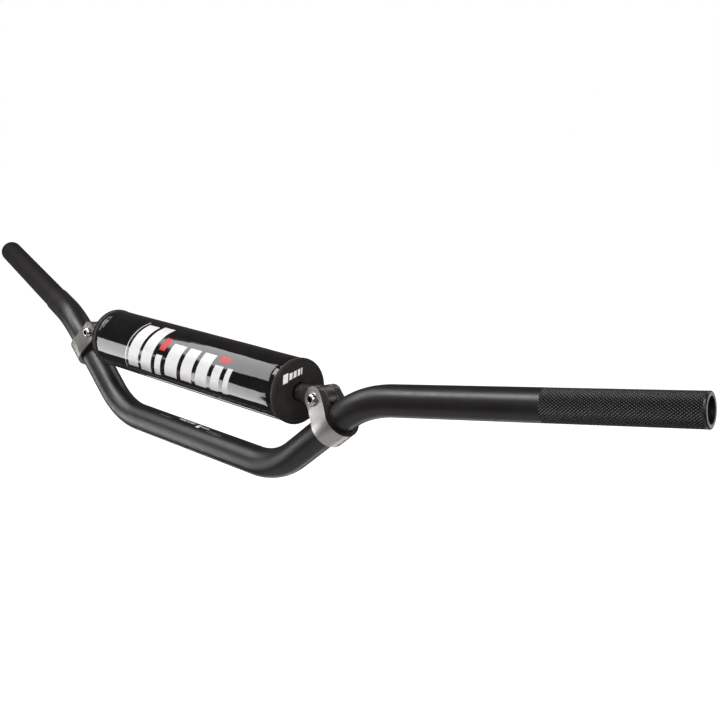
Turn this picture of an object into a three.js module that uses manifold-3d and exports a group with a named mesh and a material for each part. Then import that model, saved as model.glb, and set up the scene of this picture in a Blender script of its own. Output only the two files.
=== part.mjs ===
// Off-road motorcycle handlebar with a padded crossbar, in millimetres.
// Origin: centre of the straight clamping section, on the tube's axis.
// +X is the rider's left, +Y points back to the rider, +Z is up.
import * as THREE from "three";
import { mergeVertices } from "three/addons/utils/BufferGeometryUtils.js";
import Module from "manifold-3d";

// Handlebar tube: sharp corners of the centre line on the +X half, mirrored for the other half
const TUBE_DIAMETER = 22.2;
const TUBE_BORE = 15.5;
const LOWER_CORNER = [102, 0, 0];
const UPPER_CORNER = [187, 0, 68.6];
const TUBE_END = [409.5, 55, 102];
const LOWER_BEND_RADIUS = 69;
const UPPER_BEND_RADIUS = 77.5;
const THROTTLE_DIAMETER = 20.8; // turned-down length that the throttle tube runs on, at -X
const THROTTLE_LENGTH = 177;
const THROTTLE_SHOULDER = 1.5; // length of the taper between the two diameters

// Crossbar
const CROSSBAR_HEIGHT = 61.4;
const CROSSBAR_DIAMETER = 12.7;
const CROSSBAR_BORE = 9.5;
const CROSSBAR_HALF = 123.6;
const SPIGOT_LENGTH = 20;
const LUG_NECK_LENGTH = 5;
const LUG_BLEND = 4; // how far the round neck runs on inside the flat plate
const LUG_EYE_ANGLE = 1.9; // how far round its outer tip the eye's arc runs, each way

// Clamps and lugs: a split collar on each riser, with an ear on both sides of the lug
const BOLT_X = 146.8;
const BOLT_Z = 62;
const CLAMP_WIDTH = 17;
const CLAMP_WALL = 2.9;
const EAR_HALF_GAP = 4.8;
const EAR_HALF_SPAN = 10.1;
const EAR_RADIUS = 9;
const EAR_TOP_INSET = 0.4; // how much the ears lean in towards their tops
const COLLAR_FOOT_ANGLE = Math.PI / 10; // where the ears' outer faces leave the round collar
const LUG_RADIUS = 8.8;
const SEAT_HALF_SPAN = 9.9; // the bolt's and the nut's seats, spot-faced into the ears
const SEAT_DIAMETER = 10.6;

// M5 bolt and nut
const BOLT_DIAMETER = 5;
const BOLT_HEAD_DIAMETER = 9.5;
const BOLT_HEAD_HEIGHT = 3.4;
const SOCKET_ACROSS_FLATS = 4;
const SOCKET_DEPTH = 1.6;
const BOLT_LENGTH = 26;
const BOLT_TIP_CHAMFER = 0.5;
const BOLT_RIM_HEIGHT = 0.5; // the head's straight edge under its dome
const DOME_CUT = 0.58; // the flat round the socket, as a share of the head's radius
const NUT_ACROSS_FLATS = 8;
const NUT_HEIGHT = 4.5;

// Pad
const PAD_DIAMETER = 47.4;
const PAD_HALF = 120.1;
const PAD_OFFSET = 1.3; // how far the pad rests from the middle of the crossbar, towards +X
const COVER_THICKNESS = 1.2;
const CAP_THICKNESS = 2.4;
const CAP_PROUD = 0.5; // how far the caps' edges stand out past the cover
const CAP_EDGE_RADIUS = 1.8;
const PIPING_DIAMETER = 2;
const FOAM_SLIT = 1.5;
const COVER_SLIT_ANGLE = 0.06;
const CLOSURE_DIRECTION = -0.42; // angle of the closure from +Y, towards the underside
const CLOSURE_HALF_ANGLE = 0.5;
const STRIP_HALF_ANGLE = 0.38;
const STRIP_THICKNESS = 0.6;
const STRIP_HALF_LENGTH = 105;

const GAP = 0.3; // between pieces that touch
const CLEAR = 60; // longer than any clamp, for shapes that cut right through
const ROUND_SIDES = 24;
const SMALL_SIDES = 16;
const BEND_STEPS = 6;
const RIGHT_ANGLE = Math.PI / 2;

const wasm = await Module();
wasm.setup();

// ---------- solids ----------

function solid(geometry) {
  const bare = geometry.index ? geometry.toNonIndexed() : geometry.clone();
  bare.deleteAttribute("normal");
  bare.deleteAttribute("uv");
  const merged = mergeVertices(bare, 1e-4);
  return new wasm.Manifold(
    new wasm.Mesh({
      numProp: 3,
      vertProperties: merged.attributes.position.array,
      triVerts: Uint32Array.from(merged.index.array),
    }),
  );
}

function geometryOf(body) {
  const mesh = body.getMesh();
  const geometry = new THREE.BufferGeometry();
  geometry.setAttribute("position", new THREE.BufferAttribute(mesh.vertProperties, 3));
  geometry.setIndex(new THREE.BufferAttribute(mesh.triVerts, 1));
  geometry.computeVertexNormals();
  return geometry;
}

function arcPoints(radius, from, to, steps) {
  const points = [];
  for (let i = 0; i <= steps; i++) {
    const a = from + ((to - from) * i) / steps;
    points.push(new THREE.Vector2(radius * Math.cos(a), radius * Math.sin(a)));
  }
  return points;
}

function circlePoints(radius, sides) {
  return arcPoints(radius, 0, 2 * Math.PI, sides).slice(0, sides);
}

function ringShape(outer, inner, sides) {
  const shape = new THREE.Shape(circlePoints(outer, sides));
  shape.holes.push(new THREE.Path(circlePoints(inner, sides).reverse()));
  return shape;
}

// Part of a ring, from one angle to another
function sectorShape(outer, inner, from, to, steps) {
  const outside = arcPoints(outer, from, to, steps);
  const inside = arcPoints(inner, to, from, steps);
  return new THREE.Shape([...outside, ...inside]);
}

function extruded(shape, depth) {
  return new THREE.ExtrudeGeometry(shape, { depth, bevelEnabled: false });
}

// A shape drawn in Y and Z, extruded along X from one place to another
function alongX(shape, from, to) {
  const geometry = extruded(shape, to - from);
  geometry.rotateX(RIGHT_ANGLE).rotateZ(RIGHT_ANGLE);
  return geometry.translate(from, 0, 0);
}

// A closed profile of [radius, x] points turned round the X axis, put in the order that faces it outwards
function turnedOnX(profile, sides) {
  const points = profile.map(([radius, x]) => new THREE.Vector2(radius, -x));
  if (THREE.ShapeUtils.area(points) < 0) points.reverse();
  return new THREE.LatheGeometry(points, sides).rotateZ(RIGHT_ANGLE);
}

// A cylinder along Y between two places
function rodOnY(radius, from, to, sides) {
  return new THREE.CylinderGeometry(radius, radius, to - from, sides).translate(0, (from + to) / 2, 0);
}

// ---------- the tube's centre line ----------

// The centre line holds one station at each end and a fan of stations round each bend.
class BentPath extends THREE.Curve {
  constructor(corners, radii) {
    super();
    this.stations = [{ point: corners[0], tangent: direction(corners[0], corners[1]) }];
    for (let i = 1; i + 1 < corners.length; i++) {
      this.addBend(corners[i - 1], corners[i], corners[i + 1], radii[i - 1]);
    }
    const last = corners.length - 1;
    this.stations.push({ point: corners[last], tangent: direction(corners[last - 1], corners[last]) });
  }

  addBend(before, corner, after, radius) {
    const into = direction(before, corner);
    const out = direction(corner, after);
    const angle = into.angleTo(out);
    const reach = radius * Math.tan(angle / 2);
    const inward = out.clone().addScaledVector(into, -out.dot(into)).normalize();
    const centre = corner.clone().addScaledVector(into, -reach).addScaledVector(inward, radius);
    for (let k = 0; k <= BEND_STEPS; k++) {
      const a = (angle * k) / BEND_STEPS;
      const point = centre.clone();
      point.addScaledVector(inward, -radius * Math.cos(a));
      point.addScaledVector(into, radius * Math.sin(a));
      const tangent = into.clone().multiplyScalar(Math.cos(a)).addScaledVector(inward, Math.sin(a));
      this.stations.push({ point, tangent });
    }
  }

  station(u) {
    return this.stations[Math.round(u * (this.stations.length - 1))];
  }

  getPointAt(u, target = new THREE.Vector3()) {
    return target.copy(this.station(u).point);
  }

  getTangentAt(u, target = new THREE.Vector3()) {
    return target.copy(this.station(u).tangent);
  }
}

function direction(from, to) {
  return new THREE.Vector3().subVectors(to, from).normalize();
}

function mirrored(point) {
  return new THREE.Vector3(-point.x, point.y, point.z);
}

const lowerCorner = new THREE.Vector3(...LOWER_CORNER);
const upperCorner = new THREE.Vector3(...UPPER_CORNER);
const tubeEnd = new THREE.Vector3(...TUBE_END);

// ---------- pieces of the bar ----------

function barTube() {
  const corners = [tubeEnd, upperCorner, lowerCorner].map(mirrored);
  const path = new BentPath(
    [...corners, lowerCorner, upperCorner, tubeEnd],
    [UPPER_BEND_RADIUS, LOWER_BEND_RADIUS, LOWER_BEND_RADIUS, UPPER_BEND_RADIUS],
  );
  const tube = new THREE.ExtrudeGeometry(ringShape(TUBE_DIAMETER / 2, TUBE_BORE / 2, ROUND_SIDES), {
    steps: path.stations.length - 1,
    extrudePath: path,
  });
  return geometryOf(solid(tube).subtract(solid(throttleCut())));
}

// The ring of material that is turned off the throttle side, with a short tapered shoulder
function throttleCut() {
  const inner = THROTTLE_DIAMETER / 2;
  const outer = TUBE_DIAMETER;
  const shoulder = THROTTLE_LENGTH + THROTTLE_SHOULDER;
  const past = -5;
  const ring = turnedOnX(
    [
      [inner, past],
      [outer, past],
      [outer, shoulder],
      [TUBE_DIAMETER / 2 + GAP, shoulder],
      [inner, THROTTLE_LENGTH],
      [inner, past],
    ],
    ROUND_SIDES,
  );
  const inward = direction(mirrored(tubeEnd), mirrored(upperCorner));
  ring.applyQuaternion(new THREE.Quaternion().setFromUnitVectors(new THREE.Vector3(1, 0, 0), inward));
  return ring.translate(...mirrored(tubeEnd).toArray());
}

function crossbarTube() {
  const ring = ringShape(CROSSBAR_DIAMETER / 2, CROSSBAR_BORE / 2, ROUND_SIDES);
  return alongX(ring, -CROSSBAR_HALF, CROSSBAR_HALF).translate(0, 0, CROSSBAR_HEIGHT);
}

// The lug's flat end: a round eye on the bolt, joined by straight flanks to the neck
function lugOutline(neckEnd, neckRadius) {
  const rise = BOLT_Z - CROSSBAR_HEIGHT;
  const reach = BOLT_X - neckEnd;
  const arc = arcPoints(LUG_RADIUS, -LUG_EYE_ANGLE, LUG_EYE_ANGLE, 20);
  const eye = arc.map((p) => new THREE.Vector2(p.x + reach, p.y + rise));
  return new THREE.Shape([new THREE.Vector2(0, -neckRadius), ...eye, new THREE.Vector2(0, neckRadius)]);
}

function crossbarLug() {
  const neckRadius = CROSSBAR_DIAMETER / 2;
  const neckStart = CROSSBAR_HALF + GAP;
  const neckEnd = neckStart + LUG_NECK_LENGTH;
  const blank = turnedOnX(
    [
      [0, neckStart - SPIGOT_LENGTH],
      [CROSSBAR_BORE / 2 - GAP, neckStart - SPIGOT_LENGTH],
      [CROSSBAR_BORE / 2 - GAP, neckStart],
      [neckRadius, neckStart],
      [neckRadius, neckEnd + LUG_BLEND],
      [0, neckEnd + LUG_BLEND],
    ],
    ROUND_SIDES,
  ).translate(0, 0, CROSSBAR_HEIGHT);
  const thickness = 2 * (EAR_HALF_GAP - GAP);
  const plate = extruded(lugOutline(neckEnd, neckRadius - GAP / 2), thickness)
    .rotateX(RIGHT_ANGLE)
    .translate(neckEnd, thickness / 2, CROSSBAR_HEIGHT);
  const hole = rodOnY(BOLT_DIAMETER / 2 + GAP, -CLEAR / 2, CLEAR / 2, SMALL_SIDES);
  hole.translate(BOLT_X, 0, BOLT_Z);
  return geometryOf(solid(blank).add(solid(plate)).subtract(solid(hole)));
}

// ---------- clamps ----------
// In a clamp's own frame X runs along the riser, Y across it and Z from the riser to the crossbar.

const riserDirection = direction(lowerCorner, upperCorner);
const boltPoint = new THREE.Vector3(BOLT_X, 0, BOLT_Z);
const alongRiser = new THREE.Vector3().subVectors(boltPoint, lowerCorner).dot(riserDirection);
const clampCentre = lowerCorner.clone().addScaledVector(riserDirection, alongRiser);
const boltHeight = boltPoint.distanceTo(clampCentre);

// Half of the clamp's outline, in Y and Z, from the top of an ear down to the bottom of the collar
function collarHalf() {
  const outerRadius = TUBE_DIAMETER / 2 + GAP + CLAMP_WALL;
  const foot = new THREE.Vector2(Math.cos(COLLAR_FOOT_ANGLE), Math.sin(COLLAR_FOOT_ANGLE));
  foot.multiplyScalar(outerRadius);
  const outline = new THREE.Path();
  outline.moveTo(EAR_HALF_SPAN - EAR_TOP_INSET, boltHeight + EAR_RADIUS + 1);
  outline.lineTo(EAR_HALF_SPAN, boltHeight + 1);
  outline.quadraticCurveTo(EAR_HALF_SPAN + EAR_TOP_INSET, boltHeight * 0.72, foot.x, foot.y);
  outline.absarc(0, 0, outerRadius, COLLAR_FOOT_ANGLE, -RIGHT_ANGLE, true);
  return outline.getPoints(8);
}

function collarShape() {
  const right = collarHalf();
  const left = right.map((p) => new THREE.Vector2(-p.x, p.y)).reverse();
  const innerRadius = TUBE_DIAMETER / 2 + GAP;
  const slotAngle = Math.acos(EAR_HALF_GAP / innerRadius);
  const bore = arcPoints(innerRadius, Math.PI - slotAngle, 2 * Math.PI + slotAngle, 28);
  const top = right[0].y;
  const slotLeft = new THREE.Vector2(-EAR_HALF_GAP, top);
  const slotRight = new THREE.Vector2(EAR_HALF_GAP, top);
  return new THREE.Shape([...right, ...left.slice(1), slotLeft, ...bore, slotRight].reverse());
}

// The clamp seen from its side: straight flanks and a round top
function earOutline() {
  const half = CLAMP_WIDTH / 2;
  const side = Math.acos(half / EAR_RADIUS);
  const arc = arcPoints(EAR_RADIUS, side, Math.PI - side, 14);
  const top = arc.map((p) => new THREE.Vector2(p.x, p.y + boltHeight));
  const low = -TUBE_DIAMETER;
  return new THREE.Shape([new THREE.Vector2(-half, low), new THREE.Vector2(half, low), ...top]);
}

function clampCollar() {
  const collar = solid(alongX(collarShape(), -CLAMP_WIDTH, CLAMP_WIDTH));
  const sides = solid(extruded(earOutline(), CLEAR).rotateX(RIGHT_ANGLE).translate(0, CLEAR / 2, 0));
  const hole = rodOnY(BOLT_DIAMETER / 2 + GAP, -CLEAR / 2, CLEAR / 2, SMALL_SIDES);
  hole.translate(0, 0, boltHeight);
  let body = collar.intersect(sides).subtract(solid(hole));
  for (const [from, to] of [[-CLEAR / 2, -SEAT_HALF_SPAN], [SEAT_HALF_SPAN, CLEAR / 2]]) {
    const seat = rodOnY(SEAT_DIAMETER / 2, from, to, ROUND_SIDES).translate(0, 0, boltHeight);
    body = body.subtract(solid(seat));
  }
  return geometryOf(body);
}

// The head's round top: a quarter of an ellipse with its tip cut flat round the socket
function domeProfile(radius, seat) {
  const flat = Math.acos(DOME_CUT);
  const height = BOLT_HEAD_HEIGHT / Math.sin(flat);
  return arcPoints(1, 0.25, flat, 4).map((p) => [radius * p.x, seat - height * p.y]);
}

// The bolt's axis is Y; its head is at -Y, on the front of the bar.
function clampBolt() {
  const seat = SEAT_HALF_SPAN + GAP;
  const head = BOLT_HEAD_DIAMETER / 2;
  const profile = [
    [0, BOLT_LENGTH - seat],
    [BOLT_DIAMETER / 2 - BOLT_TIP_CHAMFER, BOLT_LENGTH - seat],
    [BOLT_DIAMETER / 2, BOLT_LENGTH - seat - BOLT_TIP_CHAMFER],
    [BOLT_DIAMETER / 2, -seat],
    [head, -seat],
    [head, -seat - BOLT_RIM_HEIGHT],
    ...domeProfile(head, -seat),
    [0, -seat - BOLT_HEAD_HEIGHT],
  ];
  const blank = turnedOnX(profile, ROUND_SIDES).rotateZ(RIGHT_ANGLE);
  const corner = SOCKET_ACROSS_FLATS / Math.sqrt(3);
  const face = -seat - BOLT_HEAD_HEIGHT;
  const socket = rodOnY(corner, face - 1, face + SOCKET_DEPTH, 6);
  return geometryOf(solid(blank).subtract(solid(socket)));
}

function clampNut() {
  const corner = NUT_ACROSS_FLATS / Math.sqrt(3);
  const hexagon = new THREE.Shape(circlePoints(corner, 6));
  hexagon.holes.push(new THREE.Path(circlePoints(BOLT_DIAMETER / 2 + GAP, SMALL_SIDES).reverse()));
  const start = SEAT_HALF_SPAN + GAP;
  return extruded(hexagon, NUT_HEIGHT).rotateX(RIGHT_ANGLE).translate(0, start + NUT_HEIGHT, 0);
}

// ---------- pad ----------

const padRadius = PAD_DIAMETER / 2;
const foamRadius = padRadius - COVER_THICKNESS - GAP;
const capInner = PAD_HALF - CAP_THICKNESS;
const pipingAt = capInner - GAP - PIPING_DIAMETER / 2;
const coverHalf = pipingAt - PIPING_DIAMETER / 2 - GAP;
const padHole = CROSSBAR_DIAMETER / 2 + GAP;

// Round foam with a slit along its back, through which it goes on over the crossbar
function padFoam() {
  const slit = FOAM_SLIT / 2 / padHole;
  const shape = sectorShape(
    foamRadius,
    padHole,
    CLOSURE_DIRECTION + slit,
    CLOSURE_DIRECTION + 2 * Math.PI - slit,
    ROUND_SIDES,
  );
  return alongX(shape, -coverHalf, coverHalf);
}

function padCover() {
  const inner = padRadius - COVER_THICKNESS;
  const from = CLOSURE_DIRECTION + COVER_SLIT_ANGLE;
  const to = CLOSURE_DIRECTION + 2 * Math.PI - COVER_SLIT_ANGLE;
  return alongX(sectorShape(padRadius, inner, from, to, 36), -coverHalf, coverHalf);
}

// One layer of the closure, wrapped round the outside of the cover
function closureLayer(inner, thickness, halfAngle, halfLength) {
  const from = CLOSURE_DIRECTION - halfAngle;
  const to = CLOSURE_DIRECTION + halfAngle;
  return alongX(sectorShape(inner + thickness, inner, from, to, 8), -halfLength, halfLength);
}

function padCap() {
  const capRadius = padRadius + CAP_PROUD;
  const bend = arcPoints(CAP_EDGE_RADIUS, 0, RIGHT_ANGLE, 4).map((p) => [
    capRadius - CAP_EDGE_RADIUS + p.x,
    PAD_HALF - CAP_EDGE_RADIUS + p.y,
  ]);
  const profile = [[padHole, capInner], [capRadius, capInner], ...bend, [padHole, PAD_HALF]];
  profile.push(profile[0]);
  return turnedOnX(profile, 36);
}

function padPiping() {
  const radius = PIPING_DIAMETER / 2;
  const middle = padRadius - radius + 0.4;
  const profile = circlePoints(radius, 8).map((p) => [middle + p.x, pipingAt + p.y]);
  profile.push(profile[0]);
  return turnedOnX(profile, 36);
}

// ---------- assembly ----------

function finish(color, roughness, metalness) {
  return new THREE.MeshStandardMaterial({ color, roughness, metalness });
}

const blackAnodised = () => finish(0x1b1a1c, 0.42, 0.85);
const darkLug = () => finish(0x2a2928, 0.5, 0.7);
const silverAluminium = () => finish(0xc9c8c6, 0.35, 1.0);
const chromePlate = () => finish(0xe6e6e6, 0.12, 1.0);
const zincPlate = () => finish(0xb5b7ba, 0.35, 1.0);
const blackFoam = () => finish(0x262626, 0.95, 0.0);
const glossVinyl = () => finish(0x0b0b0c, 0.18, 0.0);
const mattFabric = () => finish(0x2b2a28, 0.85, 0.0);
const greyPiping = () => finish(0x4a4a48, 0.6, 0.0);
const loopPile = () => finish(0x141414, 0.95, 0.0);

const handlebar = new THREE.Group();

function add(name, geometry, material, parent = handlebar) {
  const mesh = new THREE.Mesh(geometry, material);
  mesh.name = name;
  parent.add(mesh);
  return mesh;
}

const pad = new THREE.Group();
pad.position.set(PAD_OFFSET, 0, CROSSBAR_HEIGHT);
handlebar.add(pad);

add("bar_tube", barTube(), blackAnodised());
add("crossbar_tube", crossbarTube(), blackAnodised());
add("pad_foam", padFoam(), blackFoam(), pad);
add("pad_cover", padCover(), glossVinyl(), pad);

const loopInner = padRadius + GAP;
const hookInner = loopInner + STRIP_THICKNESS + GAP;
const flapInner = hookInner + STRIP_THICKNESS + GAP;
const loopStrip = closureLayer(loopInner, STRIP_THICKNESS, STRIP_HALF_ANGLE, STRIP_HALF_LENGTH);
const hookStrip = closureLayer(hookInner, STRIP_THICKNESS, STRIP_HALF_ANGLE, STRIP_HALF_LENGTH);
const flap = closureLayer(flapInner, COVER_THICKNESS, CLOSURE_HALF_ANGLE, coverHalf);
add("pad_loop_strip", loopStrip, loopPile(), pad);
add("pad_hook_strip", hookStrip, loopPile(), pad);
add("pad_closure_flap", flap, glossVinyl(), pad);

for (const [side, sign] of [["left", 1], ["right", -1]]) {
  // The bar's two halves mirror each other, except that both bolts have their heads at the front.
  const half = new THREE.Group();
  half.scale.x = sign;
  handlebar.add(half);
  add(`crossbar_lug_${side}`, crossbarLug(), darkLug(), half);

  const padHalf = new THREE.Group();
  padHalf.scale.x = sign;
  pad.add(padHalf);
  add(`pad_end_cap_${side}`, padCap(), mattFabric(), padHalf);
  add(`pad_piping_${side}`, padPiping(), greyPiping(), padHalf);

  const clamp = new THREE.Group();
  clamp.position.copy(clampCentre);
  const across = new THREE.Vector3(0, 1, 0);
  const upward = direction(clampCentre, boltPoint);
  clamp.quaternion.setFromRotationMatrix(new THREE.Matrix4().makeBasis(riserDirection, across, upward));
  half.add(clamp);
  add(`clamp_collar_${side}`, clampCollar(), silverAluminium(), clamp);

  const bolted = new THREE.Group();
  bolted.position.z = boltHeight;
  clamp.add(bolted);
  add(`clamp_bolt_${side}`, clampBolt(), chromePlate(), bolted);
  add(`clamp_nut_${side}`, clampNut(), zincPlate(), bolted);
}

export default handlebar;
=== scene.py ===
import math

import bmesh
import bpy
from mathutils import Matrix, Vector, noise


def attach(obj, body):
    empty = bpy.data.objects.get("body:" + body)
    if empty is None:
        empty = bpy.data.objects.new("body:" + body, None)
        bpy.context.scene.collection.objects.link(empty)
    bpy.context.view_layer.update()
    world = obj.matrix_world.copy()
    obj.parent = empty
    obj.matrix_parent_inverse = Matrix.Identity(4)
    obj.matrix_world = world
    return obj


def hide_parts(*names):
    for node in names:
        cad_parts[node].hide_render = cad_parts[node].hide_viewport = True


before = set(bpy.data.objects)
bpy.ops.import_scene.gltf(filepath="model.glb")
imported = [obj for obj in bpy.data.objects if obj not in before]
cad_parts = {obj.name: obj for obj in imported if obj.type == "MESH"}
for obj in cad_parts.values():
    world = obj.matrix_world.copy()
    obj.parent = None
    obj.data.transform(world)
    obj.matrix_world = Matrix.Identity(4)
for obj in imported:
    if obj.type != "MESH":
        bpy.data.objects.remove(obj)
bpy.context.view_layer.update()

MM = 0.001
TAU = 2 * math.pi
QUARTER = math.pi / 2

# ---------- sizes, in millimetres, within 0.5 of the CAD model's ----------

TUBE_RADIUS = 11.1
TUBE_BORE_RADIUS = 7.75
LOWER_CORNER = Vector((102, 0, 0))
UPPER_CORNER = Vector((187, 0, 68.6))
TUBE_END = Vector((409.5, 55, 102))
LOWER_BEND_RADIUS = 69
UPPER_BEND_RADIUS = 77.5
THROTTLE_RADIUS = 10.4
THROTTLE_LENGTH = 177
THROTTLE_SHOULDER = 1.5
END_ROUNDING = 0.8
BORE_CHAMFER = 0.55

KNURL_ROUND = 36
KNURL_PITCH = 2.54
KNURL_ROWS = 39
KNURL_FROM_END = 2.0
KNURL_DEPTH = 0.44

CROSSBAR_HEIGHT = 61.4
CROSSBAR_RADIUS = 6.35
CROSSBAR_BORE_RADIUS = 4.75
CROSSBAR_HALF = 123.6

BOLT_X = 146.8
BOLT_Z = 62.0
CLAMP_HALF_WIDTH = 8.5
COLLAR_OUTER = 14.3
COLLAR_INNER = 11.25
EAR_HALF_GAP = 4.8
EAR_HALF_SPAN = 10.1
EAR_RADIUS = 9.0
EAR_TOP_INSET = 0.4
COLLAR_FOOT_ANGLE = math.radians(18)
SEAT_HALF_SPAN = 9.9
SEAT_RADIUS = 5.3
LUG_RADIUS = 8.8
LUG_HALF_THICKNESS = 4.55
NECK_RADIUS = 6.35
PLATE_FROM = 127.5  # where the lug's round neck starts to flatten into its plate
PLATE_EDGE = 8.33  # half the plate's height where its flanks meet the eye
SPIGOT_RADIUS = 4.4
SPIGOT_LENGTH = 20

HEAD_RADIUS = 4.75
HEAD_HEIGHT = 3.4
SOCKET_APOTHEM = 2.0
DOME_CUT = 0.58
SOCKET_DEPTH = 1.7
SOCKET_RIM = 2.44
HEAD_SIDES = 72
BOLT_RADIUS = 2.5
BOLT_LENGTH = 26
THREAD_PITCH = 0.8
THREAD_DEPTH = 0.4
NUT_APOTHEM = 4.0
NUT_HEIGHT = 4.5
NUT_CHAMFER_SLOPE = 1.73

PAD_RADIUS = 23.7
PAD_HALF = 120.1
PAD_OFFSET = 1.3
COVER_THICKNESS = 1.2
CAP_THICKNESS = 2.4
CAP_RADIUS = 24.2
CAP_EDGE_RADIUS = 1.7
PAD_HOLE = 6.65
COVER_HALF = 115.3
PIPING_AT = 116.5
PIPING_RADIUS = 1.05
PIPING_MIDDLE = 23.1
CLOSURE = -0.42
FLAP_HALF_ANGLE = 0.5
STRIP_HALF_ANGLE = 0.38
STRIP_HALF = 104.5
LOOP_INNER = 24.0
HOOK_INNER = 24.85
TAPE_THICKNESS = 0.55
COVER_SLIT = 0.06  # half the angle that the cover leaves open at its closure
FOAM_SLIT = 0.08
FOAM_SQUEEZE = 1.1
FOAM_SQUEEZE_REACH = 9.0
FLAP_HALF = 114.9
FLAP_CORNER = 5.0
FLAP_STITCH = 3.6
STITCH_INSET = 3.3
CAP_STITCHES = 38
CRIMPS = 46
CREASES = ((4.6, 0.78, 2.4, 0.3), (7.9, 0.6, 2.32, 0.22))  # inset, depth, angle and half angle
CREASE_BREADTH = 0.95


# ---------- meshes ----------

def skin(rings, looped=False, closed=True):
    """Points and quads that join a row of rings with the same number of points."""
    count = len(rings[0])
    points = [p for ring in rings for p in ring]
    faces = []
    for i in range(len(rings) if looped else len(rings) - 1):
        a = i * count
        b = ((i + 1) % len(rings)) * count
        for j in range(count if closed else count - 1):
            k = (j + 1) % count
            faces.append((a + j, a + k, b + k, b + j))
    return points, faces


def capped(rings):
    """A closed body: rings with a flat face over the first and the last."""
    points, faces = skin(rings)
    count = len(rings[0])
    faces.append(tuple(range(count)))
    faces.append(tuple(range(len(points) - count, len(points))))
    return points, faces


def folded(loops):
    """A closed body from loops that run out along one side of a sheet and back along the other."""
    points, faces = skin(loops)
    count = len(loops[0])
    for j in range(count // 2 - 1):
        for base in (0, len(points) - count):
            faces.append((base + j, base + j + 1, base + count - 2 - j, base + count - 1 - j))
    return points, faces


def face_outwards(mesh):
    """Joins points that coincide and turns every face outwards."""
    work = bmesh.new()
    work.from_mesh(mesh)
    bmesh.ops.remove_doubles(work, verts=work.verts, dist=1e-7)
    bmesh.ops.recalc_face_normals(work, faces=work.faces)
    work.to_mesh(mesh)
    work.free()


def shade(mesh, smooth_below=35):
    for polygon in mesh.polygons:
        polygon.use_smooth = True
    mesh.set_sharp_from_angle(angle=math.radians(smooth_below))


def make(name, points, faces, material, smooth_below=35, place=None):
    """A mesh object from points in millimetres, with its faces outwards."""
    mesh = bpy.data.meshes.new(name)
    if place is not None:
        points = [place @ Vector(p) for p in points]
    mesh.from_pydata([tuple(c * MM for c in p) for p in points], [], faces)
    face_outwards(mesh)
    mesh.materials.append(material)
    shade(mesh, smooth_below)
    obj = bpy.data.objects.new(name, mesh)
    bpy.context.scene.collection.objects.link(obj)
    return obj


def apply_modifiers(obj, smooth_below=35):
    graph = bpy.context.evaluated_depsgraph_get()
    done = bpy.data.meshes.new_from_object(obj.evaluated_get(graph))
    obj.modifiers.clear()
    obj.data = done
    shade(done, smooth_below)
    return obj


def settle(obj, body, slot, *nodes):
    """Rides on a body and stands for CAD nodes. The slot is not used."""
    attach(obj, body)
    if nodes:
        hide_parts(*nodes)
    return obj


def bevelled(obj, width, segments=3, angle=40):
    bevel = obj.modifiers.new("edges", "BEVEL")
    bevel.width = width * MM
    bevel.segments = segments
    bevel.limit_method = "ANGLE"
    bevel.angle_limit = math.radians(angle)
    return obj


def cut_by(obj, tools, smooth_below=35):
    """Takes the tools' shapes out of an object and deletes the tools."""
    for tool in tools:
        cut = obj.modifiers.new("cut", "BOOLEAN")
        cut.operation = "DIFFERENCE"
        cut.solver = "EXACT"
        cut.object = tool
    apply_modifiers(obj, smooth_below)
    for tool in tools:
        bpy.data.objects.remove(tool)
    return obj


def circle(count, radius, x=0.0):
    """Points round the X axis; a radius may be a function of the angle."""
    ring = []
    for j in range(count):
        a = TAU * j / count
        r = radius(a) if callable(radius) else radius
        ring.append(Vector((x, r * math.cos(a), r * math.sin(a))))
    return ring


def rod_on_y(name, radius, low, high, place, material, count=48):
    rings = []
    for y in (low, high):
        rings.append([Vector((p.y, y, p.z)) for p in circle(count, radius)])
    points, faces = capped(rings)
    return make(name, points, faces, material, place=place)


def smooth_step(x, low, high):
    t = min(1.0, max(0.0, (x - low) / (high - low)))
    return t * t * (3 - 2 * t)


def bell(x, width):
    return math.exp(-((x / width) ** 2))


def spread(low, high, steps):
    return [low + (high - low) * k / steps for k in range(steps + 1)]


# ---------- materials ----------

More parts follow.
